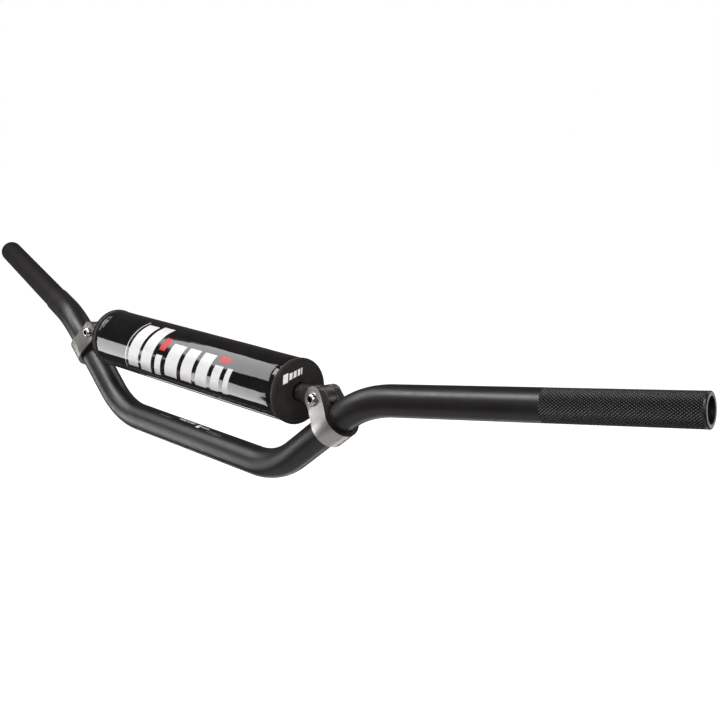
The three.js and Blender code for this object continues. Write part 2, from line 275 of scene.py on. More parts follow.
class Look:
    """A procedural material round one Principled shader."""

    def __init__(self, name, color, roughness, metallic=0.0, **sockets):
        self.material = bpy.data.materials.new(name)
        self.material.use_nodes = True
        self.tree = self.material.node_tree
        self.shader = self.tree.nodes["Principled BSDF"]
        self.shader.inputs["Base Color"].default_value = (*color, 1)
        self.shader.inputs["Roughness"].default_value = roughness
        self.shader.inputs["Metallic"].default_value = metallic
        for key, value in sockets.items():
            self.shader.inputs[key.replace("_", " ")].default_value = value
        self.material.diffuse_color = (*color, 1)
        self.where = self.node("ShaderNodeTexCoord").outputs["Object"]

    def node(self, kind, **settings):
        made = self.tree.nodes.new(kind)
        for key, value in settings.items():
            setattr(made, key, value)
        return made

    def feed(self, socket, value):
        if isinstance(value, bpy.types.NodeSocket):
            self.tree.links.new(value, socket)
        else:
            socket.default_value = value

    def math(self, operation, *values):
        made = self.node("ShaderNodeMath", operation=operation)
        for socket, value in zip(made.inputs, values):
            self.feed(socket, value)
        return made.outputs[0]

    def times(self, a, b):
        return self.math("MULTIPLY", a, b)

    def stretched(self, scale=(1, 1, 1), turn=(0, 0, 0)):
        mapping = self.node("ShaderNodeMapping")
        self.feed(mapping.inputs["Vector"], self.where)
        mapping.inputs["Scale"].default_value = scale
        mapping.inputs["Rotation"].default_value = turn
        return mapping.outputs["Vector"]

    def noise(self, size, detail=3.0, vector=None):
        """Noise with features of a size in millimetres."""
        made = self.node("ShaderNodeTexNoise")
        self.feed(made.inputs["Vector"], vector or self.where)
        made.inputs["Scale"].default_value = 1 / (size * MM)
        made.inputs["Detail"].default_value = detail
        return made.outputs["Fac"]

    def cells(self, size):
        made = self.node("ShaderNodeTexVoronoi", feature="F1")
        self.feed(made.inputs["Vector"], self.where)
        made.inputs["Scale"].default_value = 1 / (size * MM)
        return made.outputs["Distance"]

    def between(self, factor, low, high):
        """Takes a factor from its usual 0.3 to 0.7 to a low and a high value."""
        made = self.node("ShaderNodeMapRange")
        self.feed(made.inputs["Value"], factor)
        made.inputs["From Min"].default_value = 0.3
        made.inputs["From Max"].default_value = 0.7
        made.inputs["To Min"].default_value = low
        made.inputs["To Max"].default_value = high
        return made.outputs["Result"]

    def mix(self, factor, a, b):
        made = self.node("ShaderNodeMix", data_type="RGBA")
        self.feed(made.inputs["Factor"], factor)
        self.feed(made.inputs["A"], a if isinstance(a, bpy.types.NodeSocket) else (*a, 1))
        self.feed(made.inputs["B"], b if isinstance(b, bpy.types.NodeSocket) else (*b, 1))
        return made.outputs["Result"]

    def mottled(self, size, detail, low, high):
        """A colour that drifts between two, in patches of a size in millimetres."""
        return self.mix(self.between(self.noise(size, detail), 0, 1), low, high)

    def color(self, value):
        self.feed(self.shader.inputs["Base Color"], value)

    def roughness(self, value):
        self.feed(self.shader.inputs["Roughness"], value)

    def bump(self, height, depth, normal=None):
        """A bump of a depth in millimetres."""
        made = self.node("ShaderNodeBump")
        made.inputs["Distance"].default_value = depth * MM
        self.feed(made.inputs["Height"], height)
        if normal is not None:
            self.feed(made.inputs["Normal"], normal)
        self.feed(self.shader.inputs["Normal"], made.outputs["Normal"])
        return made.outputs["Normal"]

    def parts(self):
        """X, Y and Z in millimetres."""
        made = self.node("ShaderNodeSeparateXYZ")
        self.feed(made.inputs[0], self.where)
        return [self.times(out, 1 / MM) for out in made.outputs]

    def oblong(self, u, middle_u, half_u, v, middle_v, half_v):
        """A mask that is 1 inside an oblong of two coordinates."""
        inside_u = self.math("COMPARE", u, middle_u, half_u)
        inside_v = self.math("COMPARE", v, middle_v, half_v)
        return self.times(inside_u, inside_v)

    def either(self, mask, more):
        return more if mask is None else self.math("MAXIMUM", mask, more)


def anodised():
    look = Look("black_anodised", (0.007, 0.006, 0.0062), 0.33, 0.0, Specular_IOR_Level=0.75)
    base = look.mottled(26, 2, (0.0052, 0.0042, 0.0043), (0.0085, 0.0072, 0.0075))
    x, y, z = look.parts()
    turn = look.math("ARCTAN2", z, look.times(y, -1.0))
    printed = None
    for middle, half, angle, half_angle, strength in TUBE_MARKS:
        mark = look.oblong(x, middle, half, turn, angle, half_angle)
        printed = look.either(printed, look.times(mark, strength))
    worn = look.math("GREATER_THAN", look.noise(1.3, 2), 0.4)
    printed = look.times(printed, worn)
    # The throttle's sleeve turns on a plainer, more matt length
    throttle = look.math("LESS_THAN", x, -THROTTLE_FINISH_FROM)
    base = look.mix(throttle, base, (0.0062, 0.0048, 0.0045))
    peak = look.node("ShaderNodeAttribute", attribute_name="peak_wear_and_glint").outputs["Fac"]
    groove = look.node("ShaderNodeAttribute", attribute_name="groove").outputs["Fac"]
    # The knurl's peaks are painted lighter: partly worn bare metal, partly a painted highlight where the
    # diamond tops catch the light.
    base = look.mix(look.times(peak, 0.85), base, (0.15, 0.138, 0.145))
    # Painted shade: the knurl's grooves are painted near black.
    base = look.mix(look.times(groove, 0.9), base, (0.003, 0.003, 0.003))
    look.color(look.mix(printed, base, (0.85, 0.84, 0.83)))
    shine = look.between(look.noise(7, 3), 0.35, 0.42)
    look.roughness(look.math("ADD", shine, look.times(throttle, 0.2)))
    gloss = look.math("SUBTRACT", 0.75, look.times(throttle, 0.4))
    # Painted shade: the knurl's grooves also reflect less.
    gloss = look.times(gloss, look.math("SUBTRACT", 1.0, look.times(groove, 0.8)))
    look.feed(look.shader.inputs["Specular IOR Level"], gloss)
    look.bump(look.noise(0.35, 2), 0.012)
    return look.material


def lug_finish():
    look = Look("dark_lug", (0.15, 0.14, 0.13), 0.42, 0.8)
    look.color(look.mottled(6, 3, (0.08, 0.075, 0.07), (0.15, 0.142, 0.133)))
    look.roughness(look.between(look.noise(1.5, 3), 0.32, 0.5))
    look.bump(look.noise(0.8, 3), 0.04)
    return look.material


def brushed(name, low, high, turn, along, depth=0.02):
    """Brushed metal; the sides, which face along the strap's width, are painted darker as shade, with a
    plain mottle in place of the brush lines.
    """
    look = Look(name, high, 0.4, 1.0)
    lines = look.noise(1.0, 4, look.stretched((4.5, 4.5, 0.12), turn))
    facing = look.node("ShaderNodeVectorMath", operation="DOT_PRODUCT")
    look.feed(facing.inputs[0], look.node("ShaderNodeTexCoord").outputs["Normal"])
    facing.inputs[1].default_value = along
    # Painted shade: faces that look along the strap's width get a darker colour.
    shaded_side = look.math("GREATER_THAN", look.math("ABSOLUTE", facing.outputs["Value"]), SHADED_SIDE_COSINE)
    polished = look.mix(look.between(lines, 0, 1), low, high)
    side_shade_colour = look.mottled(0.5, 3, (0.1, 0.096, 0.092), (0.19, 0.184, 0.178))
    look.color(look.mix(shaded_side, polished, side_shade_colour))
    look.roughness(look.between(lines, 0.36, 0.5))
    look.bump(lines, depth)
    return look.material


def chrome():
    look = Look("chrome_bolt", (0.8, 0.8, 0.81), 0.1, 1.0)
    bright = look.mottled(2.5, 3, (0.68, 0.68, 0.69), (0.82, 0.82, 0.83))
    socket_shade = look.node("ShaderNodeAttribute", attribute_name="socket").outputs["Fac"]
    # Painted shade: the hex socket is painted near black, and made rougher.
    look.color(look.mix(socket_shade, bright, (0.02, 0.019, 0.018)))
    polish = look.between(look.noise(1.2, 4), 0.05, 0.12)
    look.roughness(look.math("ADD", polish, look.times(socket_shade, 0.4)))
    look.bump(look.noise(0.5, 2), 0.003)
    return look.material


def zinc():
    look = Look("zinc_nut", (0.52, 0.53, 0.55), 0.3, 1.0)
    look.color(look.mottled(3, 4, (0.42, 0.43, 0.44), (0.6, 0.61, 0.63)))
    look.roughness(look.between(look.noise(1.5, 4), 0.22, 0.42))
    look.bump(look.noise(0.6, 3), 0.01)
    return look.material


def foam():
    look = Look("black_foam", (0.02, 0.02, 0.02), 0.95, 0.0)
    look.color(look.mottled(8, 3, (0.014, 0.014, 0.014), (0.03, 0.03, 0.03)))
    look.roughness(look.between(look.noise(2, 2), 0.88, 1.0))
    look.bump(look.cells(0.9), 0.3)
    return look.material


def vinyl(name, printed):
    look = Look(name, (0.006, 0.006, 0.0065), 0.07, 0.0, Specular_IOR_Level=0.5)
    base = look.mottled(14, 2, (0.0045, 0.0045, 0.005), (0.0085, 0.0083, 0.0088))
    shine = look.between(look.noise(5, 4), 0.045, 0.085)
    if printed:
        x, y, z = look.parts()
        up = look.math("SUBTRACT", z, CROSSBAR_HEIGHT)
        turn = look.math("ARCTAN2", up, look.times(y, -1.0))
        rise = look.times(turn, PAD_RADIUS)
        slanted = look.math("SUBTRACT", x, look.times(rise, PRINT_SLANT))
        masks = {}
        for middle, width, low, high, kind in PRINT_BARS:
            bar = look.oblong(slanted, middle, width / 2, rise, (low + high) / 2, (high - low) / 2)
            masks[kind] = look.either(masks.get(kind), bar)
        white = look.mottled(0.7, 3, (0.78, 0.77, 0.78), (0.88, 0.87, 0.88))
        red = look.mottled(0.7, 3, (0.55, 0.012, 0.012), (0.66, 0.022, 0.02))
        base = look.mix(masks["line"], base, (0.5, 0.5, 0.5))
        base = look.mix(masks["white"], base, white)
        base = look.mix(masks["red"], base, red)
        ink = look.math("MAXIMUM", masks["white"], masks["red"])
        shine = look.math("ADD", shine, look.times(ink, 0.25))
    look.color(base)
    look.roughness(shine)
    look.bump(look.noise(3.5, 3), 0.012)
    return look.material


def coated_fabric(name, low, high, marked):
    look = Look(name, high, 0.82, 0.0, Specular_IOR_Level=0.35)
    _, y, z = look.parts()
    base = look.mottled(9, 4, low, high)
    if marked:
        # Small plain bars, the same motif as the cover's
        up = look.math("SUBTRACT", z, CROSSBAR_HEIGHT)
        y_cos, y_sin = (look.times(y, part) for part in CAP_MARK_TURN)
        up_cos, up_sin = (look.times(up, part) for part in CAP_MARK_TURN)
        along = look.math("ADD", y_cos, up_sin)
        across = look.math("SUBTRACT", up_cos, y_sin)
        slanted = look.math("SUBTRACT", along, look.times(across, CAP_MARK_SLANT))
        mark = None
        for middle, width, height in CAP_BARS:
            bar = look.oblong(slanted, middle, width / 2, across, CAP_MARK_RISE, height / 2)
            mark = look.either(mark, bar)
        base = look.mix(mark, base, (0.92, 0.91, 0.9))
    look.color(base)
    threads = [look.math("SINE", look.times(across, THREADS)) for across in (y, z)]
    look.roughness(look.between(look.noise(2, 3), 0.72, 0.9))
    soft = look.bump(look.math("ADD", *threads), 0.02)
    look.bump(look.noise(0.6, 3), 0.05, soft)
    return look.material


def pile(name, low, high):
    look = Look(name, high, 0.95, 0.0, Sheen_Weight=0.25)
    look.color(look.mottled(1.2, 4, low, high))
    look.roughness(look.between(look.noise(2, 2), 0.85, 1.0))
    look.bump(look.cells(0.55), 0.35)
    return look.material


def thread():
    look = Look("thread", (0.03, 0.03, 0.03), 0.7, 0.0, Sheen_Weight=0.2)
    look.color(look.mottled(0.6, 3, (0.009, 0.009, 0.009), (0.022, 0.0215, 0.021)))
    look.roughness(look.between(look.noise(1, 2), 0.6, 0.8))
    look.bump(look.noise(0.25, 2), 0.05)
    return look.material


SHADED_SIDE_COSINE = 0.75
THREADS = 9.0  # radians of weave to a millimetre
PRINT_SLANT = 0.34
# Middle and width along the pad, low and high round it from its front, and kind
PRINT_BARS = [
    (-66, 1.6, -16, 30, "line"),
    (-55, 14, -13, 27, "white"),
    (-37, 14, -14, 29, "white"),
    (-21, 8, -14, 4, "white"),
    (-21, 8, 8, 19, "red"),
    (-3, 16, -12, 16, "white"),
    (17, 14, -12, 16, "white"),
    (36, 14, -12, 16, "white"),
    (53, 10, -12, 9, "white"),
    (54, 12, 12, 17, "red"),
    (66, 6, -12, 9, "white"),
]
# Middle, width and height
CAP_BARS = [(-14.6, 4.6, 6.4), (-9.6, 2.9, 4.6), (-5.6, 2.9, 4.6), (-1.9, 2.3, 4.6), (0.7, 1.1, 4.6)]
CAP_MARK_TURN = (math.cos(0.29), math.sin(0.29))
CAP_MARK_SLANT = 0.3
CAP_MARK_RISE = 14.1
# Middle and half length along X, middle and half width round the tube in radians, and strength
TUBE_MARKS = [
    (-15.5, 4.5, 1.5, 0.1, 1.0),
    (-4.5, 5.0, 1.48, 0.1, 0.8),
    (6.5, 2.2, 1.36, 0.2, 1.0),
    (14.5, 5.0, 1.42, 0.07, 0.75),
    (28.0, 9.5, 1.13, 0.02, 0.35),
    (28.0, 9.5, 1.27, 0.02, 0.25),
    (-36.0, 8.0, 1.2, 0.02, 0.25),
]
THROTTLE_FINISH_FROM = 240.0
# Two copies of one brushed aluminium: the right, far clamp's copy is painted darker, as shade.
SILVER_LOOKS = (
    (1, "silver_aluminium", (0.56, 0.55, 0.54), (0.76, 0.745, 0.73)),
    (-1, "silver_aluminium_shaded_right", (0.27, 0.262, 0.25), (0.38, 0.37, 0.355)),
)

BLACK = anodised()
LUG = lug_finish()
RISER_TILT = math.atan2(UPPER_CORNER.x - LOWER_CORNER.x, UPPER_CORNER.z - LOWER_CORNER.z)
SILVER = {}
for sign, name, low, high in SILVER_LOOKS:
    lines_turn = (0, sign * (RISER_TILT - QUARTER), 0)
    strap_width = (sign * math.sin(RISER_TILT), 0, math.cos(RISER_TILT))
    SILVER[sign] = brushed(name, low, high, lines_turn, strap_width)
CHROME = chrome()
ZINC = zinc()
FOAM = foam()
PRINTED = vinyl("gloss_vinyl_printed", True)
VINYL = vinyl("gloss_vinyl", False)
CAP = coated_fabric("matt_fabric", (0.0155, 0.0138, 0.0112), (0.023, 0.0205, 0.017), True)
PIPING = coated_fabric("grey_piping", (0.05, 0.0475, 0.044), (0.08, 0.076, 0.071), False)
PILE = pile("loop_pile", (0.008, 0.008, 0.008), (0.02, 0.02, 0.02))
THREAD = thread()


# ---------- the tube's centre line ----------

class CentreLine:
    """Straight lengths and bends, with a point and a frame at any distance along them."""

    def __init__(self, corners, radii):
        self.runs = []
        start = corners[0]
        heading = (corners[1] - corners[0]).normalized()
        side = heading.cross(Vector((0, 0, 1))).normalized()
        for i in range(1, len(corners)):
            if i == len(corners) - 1:
                self.add_run(start, heading, side, (corners[i] - start).length, None, 0)
                break
            out = (corners[i + 1] - corners[i]).normalized()
            angle = heading.angle(out)
            reach = radii[i - 1] * math.tan(angle / 2)
            bend_start = corners[i] - heading * reach
            self.add_run(start, heading, side, (bend_start - start).length, None, 0)
            axis = heading.cross(out).normalized()
            self.add_run(bend_start, heading, side, radii[i - 1] * angle, axis, radii[i - 1])
            side = Matrix.Rotation(angle, 3, axis) @ side
            start = corners[i] + out * reach
            heading = out
        self.length = sum(run[3] for run in self.runs)

    def add_run(self, *run):
        self.runs.append(run)

    def at(self, distance):
        for start, heading, side, length, axis, radius in self.runs:
            if distance <= length + 1e-6:
                break
            distance -= length
        if axis is None:
            return start + heading * distance, heading, side
        centre = start + axis.cross(heading) * radius
        turn = Matrix.Rotation(distance / radius, 3, axis)
        return centre + turn @ (start - centre), turn @ heading, turn @ side

    def stops(self, low, high, straight_step=14.0, bend_step=3.2):
        """Distances from low to high, closer together in the bends."""
        marks = [low]
        begin = 0.0
        for run in self.runs:
            step = straight_step if run[4] is None else bend_step
            count = max(1, math.ceil(run[3] / step))
            marks += [begin + run[3] * k / count for k in range(1, count + 1)]
            begin += run[3]
        return [m for m in marks if low <= m < high - 0.05] + [high]

    def ring(self, distance, radius, count, lift=None):
        point, heading, side = self.at(distance)
        up = heading.cross(side)
        ring = []
        for j in range(count):
            a = TAU * j / count
            r = radius + (lift(j) if lift else 0.0)
            ring.append(point + side * (r * math.cos(a)) + up * (r * math.sin(a)))
        return ring


def mirror(point):
    return Vector((-point.x, point.y, point.z))


centre_line = CentreLine(
    [
        mirror(TUBE_END), mirror(UPPER_CORNER), mirror(LOWER_CORNER),
        LOWER_CORNER, UPPER_CORNER, TUBE_END,
    ],
    [UPPER_BEND_RADIUS, LOWER_BEND_RADIUS, LOWER_BEND_RADIUS, UPPER_BEND_RADIUS],
)


def knurl_lift(i, j):
    """Height of the diamond knurl at a quarter-pitch point of its lattice."""
    if (i + j) % 4 == 0 or (i - j) % 4 == 0:
        return -KNURL_DEPTH
    if (i + j) % 2 == 0:
        return 0.04
    return -0.1


def bar_tube():
    around = 4 * KNURL_ROUND
    length = centre_line.length
    rings, knurled = [], {}

    def add(distance, radius):
        rings.append(centre_line.ring(distance, radius, around))

    for k in range(6):
        a = QUARTER * k / 5
        add(END_ROUNDING * (1 - math.sin(a)), THROTTLE_RADIUS - END_ROUNDING * (1 - math.cos(a)))
    rings.reverse()
    for distance in centre_line.stops(END_ROUNDING + 0.5, THROTTLE_LENGTH - 0.4):
        add(distance, THROTTLE_RADIUS)
    step = TUBE_RADIUS - THROTTLE_RADIUS
    for t in spread(0, 1, 4):
        add(THROTTLE_LENGTH + THROTTLE_SHOULDER * t, THROTTLE_RADIUS + step * smooth_step(t, 0, 1))
    knurl_end = length - KNURL_FROM_END
    knurl_start = knurl_end - KNURL_ROWS * KNURL_PITCH
    for distance in centre_line.stops(THROTTLE_LENGTH + THROTTLE_SHOULDER + 0.4, knurl_start - 0.5):
        add(distance, TUBE_RADIUS)
    add(knurl_start - 0.25, TUBE_RADIUS)
    rows = 4 * KNURL_ROWS
    for i in range(rows + 1):
        distance = knurl_start + (knurl_end - knurl_start) * i / rows
        rings.append(centre_line.ring(distance, TUBE_RADIUS, around, lambda j: knurl_lift(i, j)))
        knurled[len(rings) - 1] = i
    add(knurl_end + 0.25, TUBE_RADIUS)
    for k in range(6):
        a = QUARTER * k / 5
        inset = END_ROUNDING * (1 - math.cos(a))
        add(length - END_ROUNDING + END_ROUNDING * math.sin(a), TUBE_RADIUS - inset)
    add(length, TUBE_BORE_RADIUS + BORE_CHAMFER)
    add(length - 0.5, TUBE_BORE_RADIUS)
    for distance in reversed(centre_line.stops(1.0, length - 1.0, 22, 7)):
        add(distance, TUBE_BORE_RADIUS)
    add(0.5, TUBE_BORE_RADIUS)
    add(0.0, TUBE_BORE_RADIUS + BORE_CHAMFER)
    points, faces = skin(rings, looped=True)
    # In the knurl each cell is two flat triangles, parted along the grooves.
    kept = []
    for face in faces:
        row, j = divmod(face[0], around)
        if row in knurled and row + 1 in knurled:
            i = knurled[row]
            a, b, c, d = face
            if (i + j) % 2 == 0:
                kept += [(a, b, c), (a, c, d)]
            else:
                kept += [(a, b, d), (b, c, d)]
        else:
            kept.append(face)
    obj = make("bar", points, kept, BLACK, 30)
    # The knurl's peaks are marked to be painted lighter, partly as wear and partly as a painted
    # highlight.
    peak_wear_and_glint = obj.data.attributes.new("peak_wear_and_glint", "FLOAT", "POINT")
    # The knurl's grooves are marked to be painted with shade.
    groove = obj.data.attributes.new("groove", "FLOAT", "POINT")
    for row, i in knurled.items():
        for j in range(around):
            lift = knurl_lift(i, j)
            peak_wear_and_glint.data[row * around + j].value = 1.0 if lift > 0 else 0.0
            groove.data[row * around + j].value = 1.0 if lift == -KNURL_DEPTH else 0.0
    return settle(obj, "root", "black_anodised", "bar_tube")


def crossbar():
    rings = []
    for x, r in (
        (-CROSSBAR_HALF, CROSSBAR_RADIUS - 0.3), (-CROSSBAR_HALF + 0.3, CROSSBAR_RADIUS),
        (CROSSBAR_HALF - 0.3, CROSSBAR_RADIUS), (CROSSBAR_HALF, CROSSBAR_RADIUS - 0.3),
        (CROSSBAR_HALF, CROSSBAR_BORE_RADIUS), (-CROSSBAR_HALF, CROSSBAR_BORE_RADIUS),
    ):
        rings.append([p + Vector((0, 0, CROSSBAR_HEIGHT)) for p in circle(72, r, x)])
    points, faces = skin(rings, looped=True)
    obj = make("crossbar", points, faces, BLACK)
    return settle(obj, "root", "black_anodised", "crossbar_tube")


# ---------- clamps, lugs and bolts, on the +X side or mirrored ----------

riser = (UPPER_CORNER - LOWER_CORNER).normalized()
bolt_point = Vector((BOLT_X, 0, BOLT_Z))
clamp_centre = LOWER_CORNER + riser * (bolt_point - LOWER_CORNER).dot(riser)
bolt_height = (bolt_point - clamp_centre).length
upward = (bolt_point - clamp_centre).normalized()
clamp_place = Matrix.Translation(clamp_centre) @ Matrix(
    [(riser.x, 0, upward.x, 0), (0, 1, 0, 0), (riser.z, 0, upward.z, 0), (0, 0, 0, 1)]
)
bolt_place = clamp_place @ Matrix.Translation((0, 0, bolt_height))
MIRROR = Matrix.Diagonal((-1, 1, 1, 1))


def side_of(sign):
    return Matrix.Identity(4) if sign > 0 else MIRROR


def superellipse(half_y, top, bottom, power, count):
    """Y and Z of an outline that goes from an ellipse, at power 2, towards an oblong."""
    ring = []
    for j in range(count):
        a = TAU * j / count
        c, s = math.cos(a), math.sin(a)
        y = math.copysign(abs(c) ** (2 / power), c) * half_y
        z = math.copysign(abs(s) ** (2 / power), s) * (top if s > 0 else bottom)
        ring.append((y, z))
    return ring


def plate_outline(x):
    """How far the lug's plate reaches above and below the crossbar's axis."""
    rise = BOLT_Z - CROSSBAR_HEIGHT
    flank_end = BOLT_X - 2.85
    if x < flank_end:
        t = (x - PLATE_FROM) / (flank_end - PLATE_FROM)
        edge = NECK_RADIUS + (PLATE_EDGE - NECK_RADIUS) * smooth_step(t, 0, 1)
        return edge + rise * t, edge - rise * t
    reach = max(0.0, LUG_RADIUS**2 - (x - BOLT_X) ** 2) ** 0.5
    return reach + rise, reach - rise


def lug(side, sign):
    neck_start = CROSSBAR_HALF + 0.1
    round_power, plate_power = 2.0, 8.5
    stations = []
    for x, r in (
        (neck_start - SPIGOT_LENGTH, SPIGOT_RADIUS), (neck_start - 0.1, SPIGOT_RADIUS),
        (neck_start, NECK_RADIUS - 0.45), (neck_start + 0.35, NECK_RADIUS - 0.05),
        (125.4, NECK_RADIUS), (126.6, NECK_RADIUS), (127.6, NECK_RADIUS),
    ):
        stations.append((x, r, r, r, round_power))
    for x in spread(128.4, 138.0, 12):
        t = smooth_step(x, 127.6, 133.5)
        half_y = NECK_RADIUS + (LUG_HALF_THICKNESS - NECK_RADIUS) * t
        power = round_power + (plate_power - round_power) * t * t
        stations.append((x, half_y, *plate_outline(x), power))
    for x in spread(139.0, BOLT_X, 6):
        stations.append((x, LUG_HALF_THICKNESS, *plate_outline(x), plate_power))
    for k in range(1, 15):
        x = BOLT_X + LUG_RADIUS * math.sin(QUARTER * k / 14.6)
        stations.append((x, LUG_HALF_THICKNESS - 0.02 * k, *plate_outline(x), plate_power))
    rings = []
    for x, half_y, top, bottom, power in stations:
        section = superellipse(half_y, top, bottom, power, 72)
        rings.append([Vector((x, y, z + CROSSBAR_HEIGHT)) for y, z in section])
    points, faces = capped(rings)
    obj = make(f"lug_{side}", points, faces, LUG, 40, side_of(sign))
    hole = rod_on_y("hole", BOLT_RADIUS + 0.15, -9, 9, side_of(sign) @ bolt_place, LUG)
    cut_by(obj, [hole], 40)
    return settle(obj, "root", "dark_lug", f"crossbar_lug_{side}")


def collar_stations():
    """Outer and inner points across the strap and its half width, from an ear's top to the bottom."""
    stations = []
    side_angle = math.acos(CLAMP_HALF_WIDTH / EAR_RADIUS)
    for phi in spread(QUARTER, side_angle, 18):
        z = bolt_height + EAR_RADIUS * math.sin(phi)
        half = EAR_RADIUS * math.cos(phi)
        lean = EAR_TOP_INSET * (z - bolt_height - 1) / EAR_RADIUS
        stations.append(((EAR_HALF_SPAN - lean, z), (EAR_HALF_GAP, z), half))
    foot = (COLLAR_OUTER * math.cos(COLLAR_FOOT_ANGLE), COLLAR_OUTER * math.sin(COLLAR_FOOT_ANGLE))
    start = (EAR_HALF_SPAN, bolt_height + 1)
    control = (EAR_HALF_SPAN + 0.3, bolt_height * 0.72)
    slot_angle = math.acos(EAR_HALF_GAP / COLLAR_INNER)
    slot_bottom = COLLAR_INNER * math.sin(slot_angle)
    split = 0.62  # how far down the flank the slot opens into the bore
    for t in spread(0, 1, 20):
        bend = ((1 - t) ** 2, 2 * t * (1 - t), t * t)
        outer = tuple(bend[0] * s + bend[1] * c + bend[2] * f for s, c, f in zip(start, control, foot))
        if t < split:
            inner = (EAR_HALF_GAP, start[1] + (slot_bottom - start[1]) * t / split)
        else:
            a = slot_angle + (COLLAR_FOOT_ANGLE - slot_angle) * (t - split) / (1 - split)
            inner = (COLLAR_INNER * math.cos(a), COLLAR_INNER * math.sin(a))
        stations.append((outer, inner, CLAMP_HALF_WIDTH))
    for a in spread(COLLAR_FOOT_ANGLE, -QUARTER, 22)[1:]:
        ring = (math.cos(a), math.sin(a))
        outer, inner = (tuple(r * c for c in ring) for r in (COLLAR_OUTER, COLLAR_INNER))
        stations.append((outer, inner, CLAMP_HALF_WIDTH))
    return stations


def collar(side, sign):
    half = collar_stations()
    other = [((-o[0], o[1]), (-i[0], i[1]), w) for o, i, w in reversed(half[:-1])]
    rings = []
    for outer, inner, width in half + other:
        corners = ((width, outer), (-width, outer), (-width, inner), (width, inner))
        rings.append([Vector((x, *p)) for x, p in corners])
    points, faces = skin(rings)
    obj = make(f"clamp_{side}", points, faces, SILVER[sign], 30, side_of(sign) @ clamp_place)
    bevelled(obj, 0.55)
    place = side_of(sign) @ bolt_place
    tools = [
        rod_on_y("hole", BOLT_RADIUS + 0.2, -30, 30, place, SILVER[sign]),
        rod_on_y("seat", SEAT_RADIUS, -30, -SEAT_HALF_SPAN, place, SILVER[sign]),
        rod_on_y("seat", SEAT_RADIUS, SEAT_HALF_SPAN, 30, place, SILVER[sign]),
    ]
    cut_by(obj, tools, 30)
    return settle(obj, "root", "silver_aluminium", f"clamp_collar_{side}")


def hexagon(apothem):
    def radius(a):
        return apothem / math.cos((a + math.pi / 6) % (math.pi / 3) - math.pi / 6)
    return radius


def turned_on_y(profile, count):
    """Rings round the Y axis from pairs of radius and Y; a radius may be a function of the angle."""
    rings = []
    for radius, y in profile:
        rings.append([Vector((p.y, y, p.z)) for p in circle(count, radius)])
    return rings


def bolt(side, sign):
    seat = -SEAT_HALF_SPAN - 0.03
    top = seat - HEAD_HEIGHT
    flat = math.acos(DOME_CUT)
    socket = hexagon(SOCKET_APOTHEM)
    profile = [(SOCKET_APOTHEM * 0.35, top + SOCKET_DEPTH + 0.35)]
    profile += [(socket, top + SOCKET_DEPTH), (socket, top + 0.22)]
    socket_rings = len(profile)
    profile += [(SOCKET_RIM, top), (SOCKET_RIM + 0.22, top - 0.02)]
    for a in spread(flat, 0.12, 12):
        profile.append((HEAD_RADIUS * math.cos(a), seat - HEAD_HEIGHT * math.sin(a) / math.sin(flat)))
    profile += [(HEAD_RADIUS, seat - 0.25), (HEAD_RADIUS - 0.2, seat), (BOLT_RADIUS, seat)]
    thread_start = SEAT_HALF_SPAN + NUT_HEIGHT - 0.4
    tip = seat + BOLT_LENGTH
    profile.append((BOLT_RADIUS, thread_start))
    y = thread_start
    while y < tip - THREAD_PITCH:
        profile += [(BOLT_RADIUS - THREAD_DEPTH, y + THREAD_PITCH / 2), (BOLT_RADIUS, y + THREAD_PITCH)]
        y += THREAD_PITCH
    profile.append((BOLT_RADIUS - 0.7, tip))
    points, faces = capped(turned_on_y(profile, HEAD_SIDES))
    obj = make(f"bolt_{side}", points, faces, CHROME, 38, side_of(sign) @ bolt_place)
    # The socket's points are marked for the painted shade in it.
    socket_shade = obj.data.attributes.new("socket", "FLOAT", "POINT")
    for i in range(socket_rings * HEAD_SIDES):
        socket_shade.data[i].value = 1.0
    return settle(obj, "root", "chrome_bolt", f"clamp_bolt_{side}")


def nut(side, sign):
    start = SEAT_HALF_SPAN + 0.03
    hex_radius = hexagon(NUT_APOTHEM)
    hole = BOLT_RADIUS + 0.08
    profile = [(hole, start + 0.4), (hole + 0.4, start)]
    heights = spread(0, 0.45, 5) + [NUT_HEIGHT - h for h in reversed(spread(0, 0.45, 5))]
    for h in heights:
        cone = NUT_APOTHEM - 0.15 + NUT_CHAMFER_SLOPE * min(h, NUT_HEIGHT - h)
        profile.append((lambda a, cone=cone: min(hex_radius(a), cone), start + h))
    profile += [(hole + 0.4, start + NUT_HEIGHT), (hole, start + NUT_HEIGHT - 0.4)]
    rings = turned_on_y(profile, 96)
    points, faces = skin(rings, looped=True)
    obj = make(f"nut_{side}", points, faces, ZINC, 28, side_of(sign) @ bolt_place)
    return settle(obj, "root", "zinc_nut", f"clamp_nut_{side}")


# ---------- pad ----------

def pad_point(x, radius, angle):
    """A point on the pad; the angle runs from +Y towards +Z."""
    return Vector((x, radius * math.cos(angle), CROSSBAR_HEIGHT + radius * math.sin(angle)))


def at_pad(sign=1):
    """Moves a piece made round the crossbar's middle to where the pad rests, mirrored for -X."""
    return Matrix.Translation((PAD_OFFSET, 0, 0)) @ side_of(sign)


def soft_noise(x, angle, size, seed):
    """Smooth noise over the pad's surface, from about -1 to 1, seamless round it."""
    reach = PAD_RADIUS / size
    return noise.noise(Vector((math.cos(angle) * reach + seed, math.sin(angle) * reach, x / size)))


